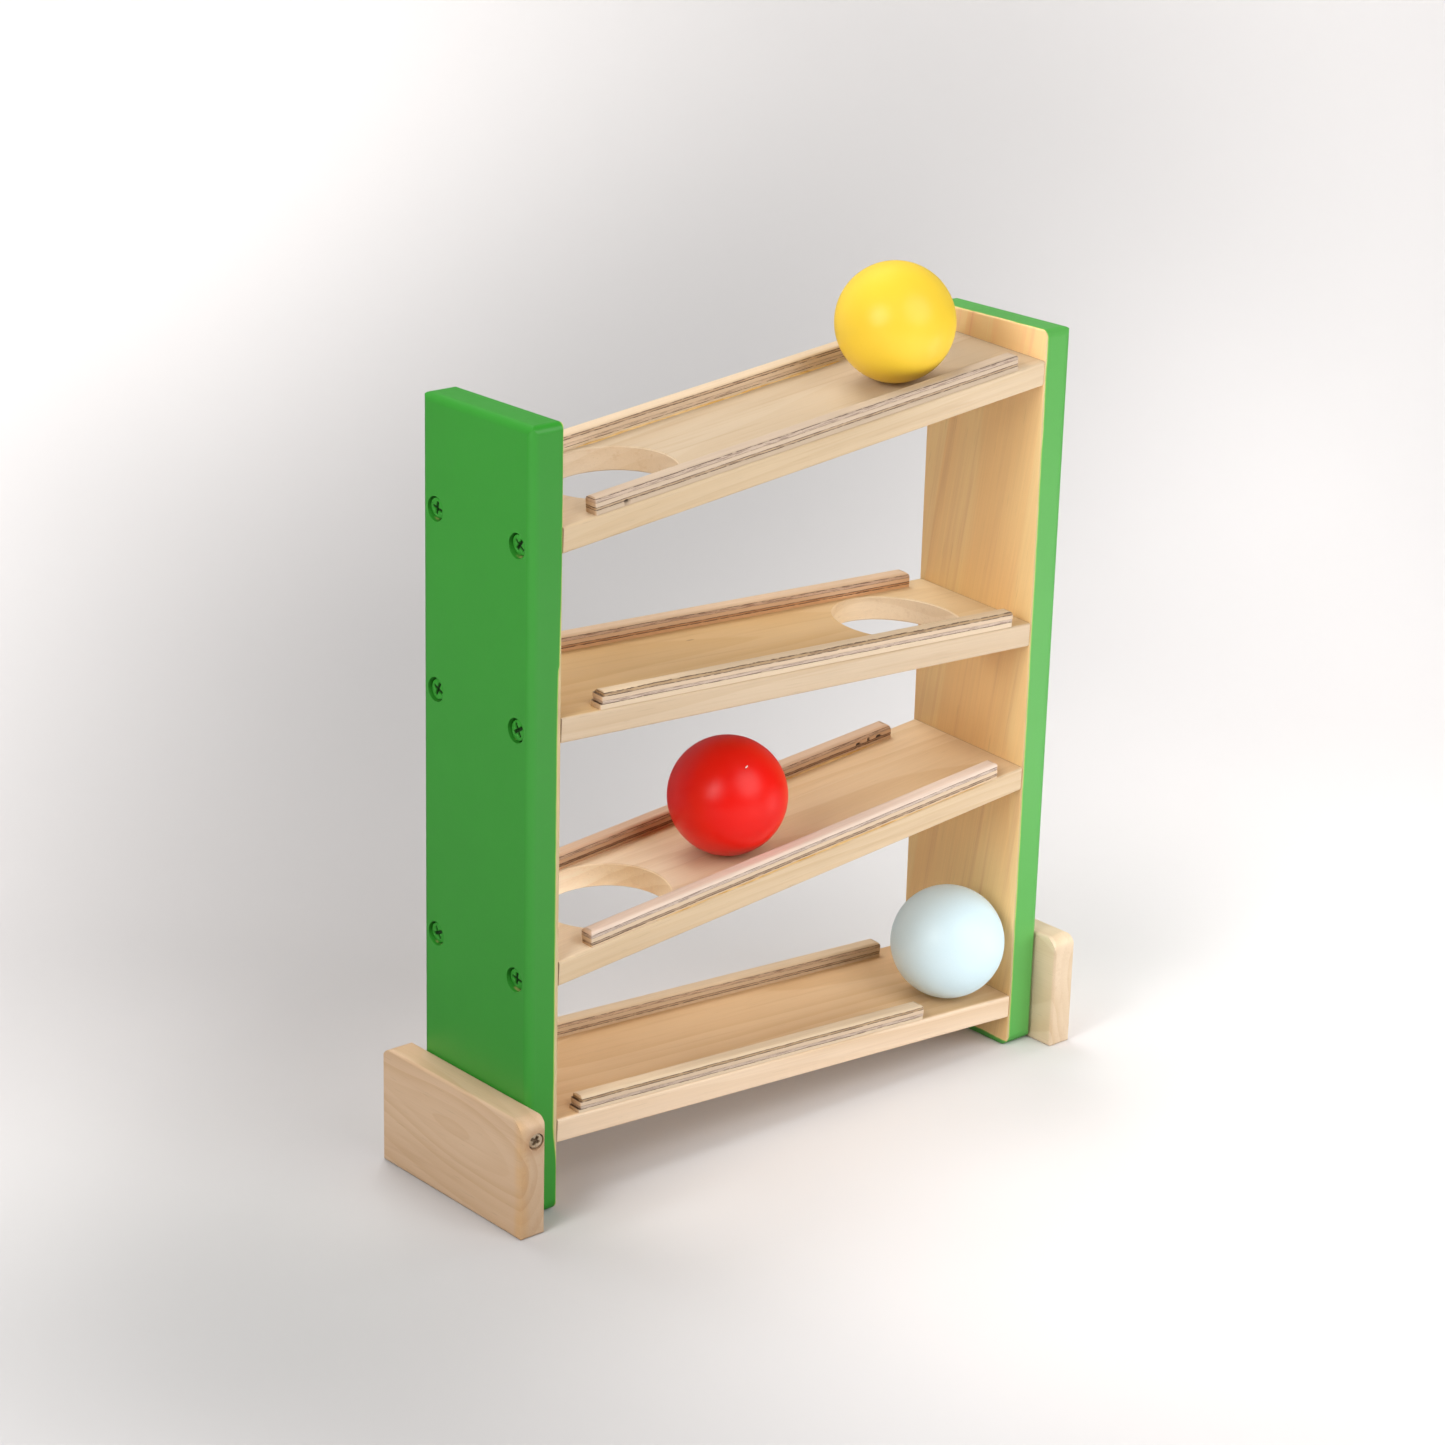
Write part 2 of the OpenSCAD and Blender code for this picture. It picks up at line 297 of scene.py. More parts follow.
def make_grain_group():
    """Plank grain on millimetres with the fibres along X.

    Growth rings are the distance from a tilted, wandering pith line, cut into ring widths; each
    ring darkens slowly to its late wood and ends sharply. Long streaks, fine fibres and short
    pore dashes are noise drawn out along X.
    """
    tree, w, i, o = new_group(
        "plank_grain",
        {
            "Place": "v", "Pith": "v", "Pith Tilt": "v", "Ring Width": "f", "Wander": "f",
            "Early Wood": "c", "Late Wood": "c", "Streak Wood": "c",
            "Ring Strength": "f", "Streak Strength": "f",
        },
        {"Color": "c", "Height": "f", "Roughness": "f"},
    )
    place = i["Place"]
    drift = w.noise(place, (0.006, 0.022, 0.022), 1.0, output="Color")
    drift = w.vector("SUBTRACT", drift, (0.5, 0.5, 0.5))
    bent = w.vector("ADD", place, w.scaled(drift, i["Wander"]))
    along = w.split(bent)["X"]
    pith = w.vector("ADD", i["Pith"], w.scaled(i["Pith Tilt"], along))
    away = w.vector("MULTIPLY", w.vector("SUBTRACT", bent, pith), (0, 1, 1))
    radius = w.vector("LENGTH", away)
    uneven = w.times(w.noise(place, (0.004, 0.05, 0.05), 2.0), i["Ring Width"])
    turns = w.math("DIVIDE", w.plus(radius, uneven), i["Ring Width"])
    within = w.math("FRACT", turns)
    ring = {"W": w.math("FLOOR", turns)}
    chance = w.add("ShaderNodeTexWhiteNoise", ring, noise_dimensions="1D").outputs["Value"]
    late = w.times(w.step(within, 0.15, 0.92), w.step(within, 1.0, 0.92))
    late = w.times(late, w.math("MULTIPLY_ADD", chance, 0.7, 0.3))
    streak = w.step(w.noise(place, (0.012, 0.42, 0.42), 3.0, 0.6), 0.5, 0.78)
    fibre = w.noise(place, (0.03, 2.2, 2.2), 3.0, 0.6)
    fine = w.noise(place, (0.06, 7.0, 7.0), 2.0)
    dash = w.step(w.noise(place, (0.1, 1.7, 1.7), 1.0), 0.68, 0.76)
    cloud = w.noise(place, (0.014, 0.05, 0.05), 2.0)
    share = w.times(late, i["Ring Strength"])
    share = w.plus(share, w.step(cloud, 0.35, 0.75, 0.0, 0.35))
    colour = w.mix(share, i["Early Wood"], i["Late Wood"])
    colour = w.mix(w.times(streak, i["Streak Strength"]), colour, i["Streak Wood"])
    tone = w.plus(w.times(fibre, 0.16), w.times(fine, 0.08))
    tone = w.minus(w.plus(tone, 0.88), w.times(dash, 0.09))
    w.put(o["Color"], w.shade(colour, tone))
    relief = w.plus(w.times(fibre, 0.6), w.times(fine, 0.4))
    w.put(o["Height"], w.minus(relief, w.times(dash, 0.7)))
    polish = w.math("MULTIPLY_ADD", late, 0.06, 0.4)
    w.put(o["Roughness"], w.plus(w.times(fibre, 0.16), polish))
    return tree


def make_paint_group():
    """Sprayed paint film on millimetres: slow clouds in its colour, orange peel and a few nibs."""
    tree, w, i, o = new_group(
        "paint_film",
        {"Place": "v", "Paint": "c", "Cloudiness": "f"},
        {"Color": "c", "Height": "f", "Roughness": "f"},
    )
    place = i["Place"]
    cloud = w.minus(w.noise(place, (0.03, 0.03, 0.03), 3.0), 0.5)
    speck = w.minus(w.noise(place, (1.3, 1.3, 1.3), 2.0), 0.5)
    tone = w.math("MULTIPLY_ADD", cloud, i["Cloudiness"], 1.0)
    tone = w.plus(tone, w.times(speck, 0.03))
    w.put(o["Color"], w.shade(i["Paint"], tone))
    peel = w.noise(place, (0.55, 0.55, 0.55), 2.0)
    nib = w.step(w.noise(place, (0.9, 0.9, 0.9), 0.0), 0.8, 0.86)
    w.put(o["Height"], w.plus(peel, w.times(nib, 0.6)))
    haze = w.noise(place, (0.08, 0.08, 0.08), 3.0)
    w.put(o["Roughness"], w.math("MULTIPLY_ADD", haze, 0.14, 0.3))
    return tree


# Plies of a rail from its pale side: where each ends, as a share of the height, and how dark and
# how thick the glue line there is
PLY_ENDS = (0.16, 0.36, 0.635, 0.79, 1.0)
GLUE_LINES = ((0.95, 0.026), (0.5, 0.02), (1.0, 0.03), (1.0, 0.03))
CROSS_PLIES = (1, 3)


def make_ply_group():
    """Plywood edge on the rail's own place: along and across in millimetres, height as a share.

    The ply lines wander a little along the strip. Glue lines are narrow bands about each ply's
    end, broken up by noise; the cross plies have long thin dashes and specks of open pores, and
    all plies are streaked along the strip.
    """
    tree, w, i, o = new_group(
        "ply_layers",
        {"Place": "v"},
        {"Ply": "f", "Glue": "f", "Pits": "f", "Streak": "f", "Height": "f"},
    )
    place = i["Place"]
    height = w.split(place)["Z"]
    slow = w.minus(w.noise(place, (0.05, 0.1, 0.0), 1.0), 0.5)
    quick = w.minus(w.noise(place, (0.7, 0.7, 0.0), 2.0), 0.5)
    level = w.math("MULTIPLY_ADD", slow, 0.06, height)
    level = w.math("MULTIPLY_ADD", quick, 0.03, level)
    broken = w.step(w.noise(place, (0.3, 0.35, 9.0), 2.0), 0.34, 0.52, 0.2, 1.0)
    glue = 0.0
    for end, (dark, half) in zip(PLY_ENDS, GLUE_LINES):
        off = w.math("ABSOLUTE", w.minus(level, end))
        glue = w.math("MAXIMUM", glue, w.step(off, half, half / 3, 0.0, dark))
    glue = w.times(glue, broken)
    cross = 0.0
    for ply in CROSS_PLIES:
        low, high = PLY_ENDS[ply - 1], PLY_ENDS[ply]
        above, below = w.step(level, low, low + 0.02), w.step(level, high, high - 0.02)
        cross = w.plus(cross, w.times(above, below))
    dashes = w.step(w.noise(place, (0.14, 0.6, 22.0), 2.0), 0.53, 0.62)
    specks = w.step(w.noise(place, (1.1, 1.6, 20.0), 2.0), 0.6, 0.72, 0.0, 0.7)
    pits = w.times(cross, w.math("MAXIMUM", dashes, specks))
    streak = w.noise(place, (0.035, 1.1, 11.0), 3.0, 0.6)
    w.put(o["Ply"], level)
    w.put(o["Glue"], glue)
    w.put(o["Pits"], pits)
    w.put(o["Streak"], streak)
    dent = w.math("MAXIMUM", glue, w.times(pits, 0.7))
    w.put(o["Height"], w.minus(w.times(streak, 0.35), dent))
    return tree


grain = make_grain_group()
paint_film = make_paint_group()
ply_layers = make_ply_group()


def dress(node, material):
    """Gives a CAD solid its finish."""
    nodes[node].data.materials.clear()
    nodes[node].data.materials.append(material)


# Relief of bare planed wood in millimetres
WOOD_RELIEF = 0.02


def plank_material(name, place_of, woods, pith, tilt, ring_width, rings, streaks, wander=8.0):
    """Lightly oiled solid wood to finish; woods are its early, late and streak wood's colours."""
    material, w, shader = new_material(name, Specular_IOR_Level=0.4)
    wood = use_group(
        w, grain, Place=place_of(w), Pith=pith, Pith_Tilt=tilt, Ring_Width=ring_width,
        Wander=wander, Early_Wood=woods[0], Late_Wood=woods[1], Streak_Wood=woods[2],
        Ring_Strength=rings, Streak_Strength=streaks,
    )
    return material, w, shader, wood


def tones(red, green, blue):
    """Early, late and streak wood about one mean colour, given as plain reflectances."""
    mean = np.array([red, green, blue])
    shares = ((1.07, 1.07, 1.07), (0.93, 0.86, 0.76), (0.9, 0.82, 0.74))
    return [(*np.minimum(mean * share, 0.9).tolist(), 1.0) for share in shares]


# Wood of each ramp's face and of its sanded long edges, how its rings lie, and its ball hole
# The faces of the lower three ramps are painted a little lighter as painted light, for the shade
# of the ramps above
RAMP_FACE = (
    (0.517, 0.404, 0.277), (0.57, 0.385, 0.19), (0.7, 0.51, 0.31), (0.635, 0.435, 0.247),
)
RAMP_EDGE = (
    (0.565, 0.43, 0.275), (0.56, 0.432, 0.298), (0.595, 0.452, 0.292), (0.715, 0.55, 0.395),
)
RAMP_PITH = ((0, -14, -46), (0, 10, 38), (0, -22, -52), (0, 16, -30))
RAMP_TILT = ((0, 0.03, 0.05), (0, -0.04, 0.06), (0, 0.02, -0.05), (0, 0.05, 0.04))
RING_WIDTH = (4.6, 5.2, 4.0, 4.4)
RING_STRENGTH = (0.45, 0.5, 0.55, 0.75)
STREAK_STRENGTH = (0.8, 0.6, 0.5, 0.5)
HOLE_SIDE = (LEFT, RIGHT, LEFT, 0)
HOLE_WALL = ((1.14, 1.17, 1.22, 1), (1.16, 1.26, 1.5, 1), (1.2, 1.22, 1.24, 1))
HOLE_R, HOLE_TO_BOARD, HOLE_FORWARD = 25.0, 44.0, 2.0
# Ramps that are paler towards one end: from and to where along, times what, on edges or faces
PALER_END = {
    0: (20.0, 90.0, (1.12, 1.15, 1.22, 1), "edges"),
    1: (20.0, 95.0, (1.12, 1.25, 1.5, 1), "faces"),
    2: (10.0, -70.0, (1.15, 1.33, 1.62, 1), "faces"),
}
# Dark fleck on the second ramp: how it is squeezed along the plank, and its place once squeezed
FLECK_RAMP, FLECK_SQUEEZE, FLECK_PLACE = 1, (0.22, 1, 0), (-4.35, 13.4, 0.0)
# Painted shadow of the seam at each board: the gap from the board where it starts and where it is
# full, and how dark
SEAM_SHADOWS = {LEFT: (0.55, 0.2, 0.65), RIGHT: (0.5, 0.2, 0.3)}


def finish_ramps():
    """Each ramp is cut from its own plank, with the grain along its slope.

    The sanded long edges and the sawn walls of the ball hole have their own wood tones. A thin
    dark line of painted shadow lies where the plank meets the left board, less at the right one.
    Three planks are paler towards one end, and the second has one small dark fleck.
    """
    for i in range(4):
        def place_of(w):
            return object_place(w, ramp_middle(i), (LEAN, -slope(i), 0))

        material, w, shader, wood = plank_material(
            f"ramp_wood_{i + 1}", place_of, tones(*RAMP_FACE[i]), RAMP_PITH[i], RAMP_TILT[i],
            RING_WIDTH[i], RING_STRENGTH[i], STREAK_STRENGTH[i],
        )
        place = place_of(w)
        along, across = w.split(place)[0:2]
        edge_wood = (*(edge / face for edge, face in zip(RAMP_EDGE[i], RAMP_FACE[i])), 1.0)
        edge = w.step(w.math("ABSOLUTE", across), RAMP_D / 2 - 1.0, RAMP_D / 2 - 0.2)
        colour = w.tint(edge, wood["Color"], edge_wood)
        if HOLE_SIDE[i]:
            axis = (HOLE_SIDE[i] * (half_run(i) - HOLE_TO_BOARD), -HOLE_FORWARD, 0.0)
            off = w.vector("DISTANCE", w.vector("MULTIPLY", place, (1, 1, 0)), axis)
            colour = w.tint(w.step(off, HOLE_R + 0.6, HOLE_R + 0.1), colour, HOLE_WALL[i])
        if i == FLECK_RAMP:
            off = w.vector("DISTANCE", w.vector("MULTIPLY", place, FLECK_SQUEEZE), FLECK_PLACE)
            colour = w.mix(w.step(off, 0.6, 0.15, 0.0, 0.6), colour, srgb(112, 78, 48))
        if i in PALER_END:
            start, end, factors, part = PALER_END[i]
            where = edge if part == "edges" else w.minus(1.0, edge)
            paler = w.times(w.step(along, start, end), where)
            colour = w.tint(paler, colour, factors)
        x = w.split(object_place(w))["X"]
        # Painted shadow in the seams at the boards
        seam_shadow = 0.0
        for side, (start, full, dark) in SEAM_SHADOWS.items():
            one = w.step(x, side * (HALF_W - start), side * (HALF_W - full), 0.0, dark)
            seam_shadow = w.plus(seam_shadow, one)
        colour = w.mix(seam_shadow, colour, srgb(96, 66, 42))
        finish(w, shader, colour, wood["Roughness"], wood["Height"], WOOD_RELIEF)
        dress(f"ramp_{i + 1}", material)


# Board paint, left and right: one green, painted darker on the left board and lighter on the right
# as painted shade and light, for light that falls off to the left
GREEN = {LEFT: (0.031, 0.272, 0.024, 1), RIGHT: (0.095, 0.393, 0.075, 1)}
BOARD_TONES = [*tones(0.93, 0.605, 0.28)[:2], (0.74, 0.44, 0.21, 1)]
BOARD_GRAIN_LEAN = math.radians(9)
BOARD_GRAIN_SCALE = 0.6
# Bare strip along the left board's edges: two heights, and its width at them or a share of it
STRIP_WIDENS = (262.0, 175.0, 0.15, 1.3)
STRIP_STEP = (208.0, 205.5, 0.0, 0.4)
STRIP_ENDS = (17.0, 36.0, 0.1, 1.0)
# Even strip of the right board, the least strip, and how far the paint wraps round the bottom
RIGHT_STRIP, LEAST_STRIP, PAINT_WRAP = 0.42, 0.12, 2.4
# How much the masked line ripples on each board, and at the bottom
RIPPLE, WRAP_RIPPLE = {LEFT: 0.7, RIGHT: 1.0}, 3.0
# Bare wood over the top ramp, and bare wood on the front edges darkened as painted shade, as
# shares of the inner face's wood
HIGH_BARE_Z, HIGH_BARE = (258.0, 280.0), (1.2, 1.2, 1.32, 1)
FRONT_BARE_SHADE = (0.64, 0.72, 0.84, 1)


def board_material(side):
    """Green paint outside, bare wood on the inner face, parted by a hand-masked wavy line.

    The line is a depth from the inner face: on the left board it widens below the top ramp, with
    one step, on the right board it keeps to the eased edge, and the paint wraps the bottom. The
    paint is thin along the line, and paler and yellower on the upward-facing lower walls of the
    sunk screw holes.
    """
    material, w, shader = new_material(f"{SIDE_WORD[side]}_board_paint", Specular_IOR_Level=0.65)
    place = object_place(w)
    upright = (0, -math.pi / 2 - BOARD_GRAIN_LEAN, math.pi / 2)
    grain_place = w.scaled(object_place(w, (side * 118.0, 0, 0), upright), BOARD_GRAIN_SCALE)
    wood = use_group(
        w, grain, Place=grain_place, Pith=(0, 40.0 * side, -4.0), Pith_Tilt=(0, 0.03, -0.05),
        Ring_Width=4.5, Wander=14.0, Early_Wood=BOARD_TONES[0], Late_Wood=BOARD_TONES[1],
        Streak_Wood=BOARD_TONES[2], Ring_Strength=0.6, Streak_Strength=0.7,
    )
    film = use_group(w, paint_film, Place=place, Paint=GREEN[side], Cloudiness=0.07)
    x, _, z = w.split(place)[0:3]
    outwards = w.times(x, float(side))
    depth = w.minus(outwards, HALF_W)
    ripple = w.minus(w.noise(place, (0.0, 0.05, 0.05), 3.0, 0.6), 0.5)
    strip = RIGHT_STRIP
    if side == LEFT:
        strip = w.plus(w.step(z, *STRIP_WIDENS), w.step(z, *STRIP_STEP))
        strip = w.times(strip, w.step(z, *STRIP_ENDS))
    line = w.math("MAXIMUM", w.math("MULTIPLY_ADD", ripple, RIPPLE[side], strip), LEAST_STRIP)
    wrap = w.minus(w.math("MULTIPLY_ADD", ripple, WRAP_RIPPLE, PAINT_WRAP), z)
    over = w.math("MAXIMUM", w.minus(depth, line), wrap)
    painted = w.step(over, -0.05, 0.1)
    thin = w.step(over, 0.6, 0.1)
    normal = w.split(w.add("ShaderNodeNewGeometry").outputs["True Normal"])
    # Paler and yellower on the upward-facing lower walls of the sunk screw holes
    pale_low_walls = w.step(normal["Z"], 0.8, 0.97)
    for limit in (
        w.step(w.minus(OUTER_X - 0.9, outwards), 0.0, 0.6),
        w.step(depth, 2.0, 4.0),
        w.step(z, BOARD_H - 3.0, BOARD_H - 6.0),
        w.step(w.noise(place, (0.3, 0.45, 0.02), 1.0), 0.42, 0.52),
    ):
        pale_low_walls = w.times(pale_low_walls, limit)
    paint = w.mix(w.times(thin, 0.75), film["Color"], srgb(176, 200, 84))
    paint = w.mix(w.times(pale_low_walls, 0.65), paint, srgb(178, 178, 108))
    bare = w.tint(w.step(z, *HIGH_BARE_Z), wood["Color"], HIGH_BARE)
    # Bare wood facing the front is darkened as painted shade
    to_front = w.times(normal["Y"], -1.0)
    bare = w.tint(w.step(to_front, 0.2, 0.8), bare, FRONT_BARE_SHADE)
    roughness = w.blend(painted, wood["Roughness"], film["Roughness"])
    film_height = w.math("MULTIPLY_ADD", film["Height"], 0.5, 0.8)
    height = w.blend(painted, wood["Height"], film_height)
    finish(w, shader, w.mix(painted, bare, paint), roughness, height, 0.03)
    return material


# Wood of the feet; the right foot's is painted lighter than the left's, as painted light for light
# that falls off to the left
FOOT_TONES = {LEFT: tones(0.585, 0.41, 0.265), RIGHT: tones(0.74, 0.58, 0.41)}
# Darker, redder ring round a foot's screw and burnished band on its edge: how far out, and where
# full
DARK_RING, BURNISH = (6.2, 3.4), (5.0, 1.5)


def foot_material(side):
    """Foot cut from a plain-sawn board with its grain front to back.

    Its end grain is darker, it is darker and redder round its screw, and the upright edge beside
    the screw is burnished.
    """
    middle = (side * (OUTER_X + FOOT_T / 2), 0, FOOT_H / 2)
    end_y = side * FOOT_L / 2

    def place_of(w):
        return object_place(w, middle, (0, 0, math.pi / 2))

    material, w, shader, wood = plank_material(
        f"{SIDE_WORD[side]}_foot_wood", place_of, FOOT_TONES[side], (0, side * -8.0, 6.0),
        (0, 0.2 * side, 0.12), 4.6, 0.62, 0.45, wander=24.0,
    )
    where = object_place(w)
    from_middle = w.math("ABSOLUTE", w.split(where)["Y"])
    end_grain = w.step(from_middle, FOOT_L / 2 - 1.2, FOOT_L / 2 - 0.1, 1.0, 0.84)
    colour = w.shade(wood["Color"], end_grain)
    screw = (side * (OUTER_X + FOOT_SCREW_IN), end_y, FOOT_SCREW_Z)
    dark_ring = w.step(w.vector("DISTANCE", where, screw), *DARK_RING)
    colour = w.mix(w.times(dark_ring, 0.3), colour, srgb(150, 98, 52))
    edge = (side * (OUTER_X + FOOT_T), end_y, 0)
    from_edge = w.vector("DISTANCE", w.vector("MULTIPLY", where, (1, 1, 0)), edge)
    patchy = w.step(w.noise(place_of(w), (0.05, 0.1, 0.1), 2.0), 0.35, 0.65, 0.4, 1.0)
    burnish = w.times(w.step(from_edge, *BURNISH), patchy)
    colour = w.tint(burnish, colour, (1.02, 0.92, 0.74, 1))
    finish(w, shader, colour, wood["Roughness"], wood["Height"], WOOD_RELIEF)
    return material


# Balls: paint and middle
BALLS = {
    "yellow_ball": ((0.86, 0.585, 0.045, 1), (59.0, -7.1, 299.3)),
    "red_ball": ((0.76, 0.006, 0.0015, 1), (-17.0, -7.1, 130.7)),
    "light_blue_ball": ((0.63, 0.79, 0.85, 1), (92.2, -16.9, 47.2)),
}
# Chip in the red ball: its place from the middle, its turn, and how it is squeezed to a slash
CHIP = (-4.16, -14.8, 16.43)
CHIP_TURN = (math.radians(29.0), math.radians(33.4), math.radians(-60.5))
CHIP_SQUEEZE = (1.5, 0.45, 0.7)


def ball_material(name, paint, middle):
    """Two coats of semi-gloss paint over turned wood, with a small chip in the red one."""
    material, w, shader = new_material(name + "_paint", Specular_IOR_Level=0.33)
    place = object_place(w, middle)
    film = use_group(w, paint_film, Place=place, Paint=paint, Cloudiness=0.05)
    colour = film["Color"]
    if name == "red_ball":
        near = object_place(w, [m + c for m, c in zip(middle, CHIP)], CHIP_TURN)
        off = w.vector("LENGTH", w.vector("MULTIPLY", near, CHIP_SQUEEZE))
        colour = w.mix(w.step(off, 0.6, 0.4, 0.0, 0.5), colour, (0.2, 0.004, 0.003, 1))
        colour = w.mix(w.step(off, 0.4, 0.26), colour, (0.85, 0.8, 0.76, 1))
    finish(w, shader, colour, w.minus(film["Roughness"], 0.02), film["Height"], 0.005)
    return material


# Panels that the rails are cut from: screen colours of the plies from the pale side, and of pores
PLY_PANELS = {
    "birch_ply": (
        ((212, 190, 162), (196, 174, 156), (208, 184, 158), (178, 150, 116), (212, 190, 160)),
        (120, 96, 84),
    ),
    "top_birch_ply": (
        ((190, 169, 147), (196, 174, 155), (202, 180, 157), (186, 160, 130), (192, 170, 146)),
        (120, 96, 82),
    ),
    "pink_ply": (
        ((220, 199, 182), (198, 178, 164), (212, 188, 160), (176, 150, 124), (208, 180, 148)),
        (112, 88, 76),
    ),
    "pale_ply": (
        ((214, 192, 162), (212, 188, 164), (214, 190, 164), (204, 176, 148), (214, 190, 160)),
        (140, 112, 92),
    ),
    "tan_ply": (
        ((207, 183, 152), (200, 172, 146), (206, 180, 150), (192, 162, 132), (206, 178, 146)),
        (128, 98, 76),
    ),
    "orange_ply": (
        ((210, 182, 152), (206, 176, 154), (216, 180, 146), (194, 146, 106), (214, 166, 122)),
        (120, 76, 50),
    ),
    "dark_ply": (
        ((208, 178, 150), (200, 170, 144), (202, 166, 132), (152, 116, 86), (194, 156, 120)),
        (80, 52, 36),
    ),
}


def ply_material(name, plies, pores):
    """Sanded plywood edge with its plies' own colours, and painted shadow dark in the voids where
    ply is missing.
    """
    material, w, shader = new_material(name, Specular_IOR_Level=0.35)
    layers = use_group(w, ply_layers, Place=w.attribute("ply_place", "Vector"))
    stops, start = [], 0.0
    for end, ply in zip(PLY_ENDS, plies):
        stops += [(start + 0.004, srgb(*ply)), (end - 0.004, srgb(*ply))]
        start = end
    colour = w.bands(layers["Ply"], stops)
    colour = w.shade(colour, w.math("MULTIPLY_ADD", layers["Streak"], 0.28, 0.86))
    colour = w.mix(w.times(layers["Pits"], 0.55), colour, srgb(*pores))
    colour = w.mix(w.times(layers["Glue"], 0.9), colour, srgb(72, 50, 38))
    # Painted shadow inside the voids where ply is missing
    void_shadow = w.step(w.attribute("void_shadow_share"), 0.3, 0.9, 0.0, 0.92)
    colour = w.mix(void_shadow, colour, srgb(52, 36, 28))
    end_cut = w.times(w.attribute("end_cut"), 0.6)
    colour = w.tint(end_cut, colour, srgb(196, 176, 150))
    roughness = w.math("MULTIPLY_ADD", layers["Pits"], 0.25, 0.5)
    finish(w, shader, colour, roughness, layers["Height"], 0.06)
    return material


def smooth_noise(rng, place, pitch, size):
    """Random heights every pitch along a line, joined by a cosine ease, at the given places."""
    knots = np.arange(place.min() - 2 * pitch, place.max() + 3 * pitch, pitch)
    heights = rng.normal(0.0, size, len(knots))
    span = (place - knots[0]) / pitch
    low = span.astype(int)
    ease = (1 - np.cos(np.pi * (span - low))) / 2
    return heights[low] * (1 - ease) + heights[low + 1] * ease


# Rails in millimetres: half a glue line's groove, how far the cross plies and the sides sit back,
# how the ends' corners are eased, and how far apart the rails lie in their finish's noise
GROOVE_HALF, CROSS_BACK, SIDES_BACK, END_EASE, NOISE_APART = 0.12, 0.05, 0.06, 0.22, 400.0


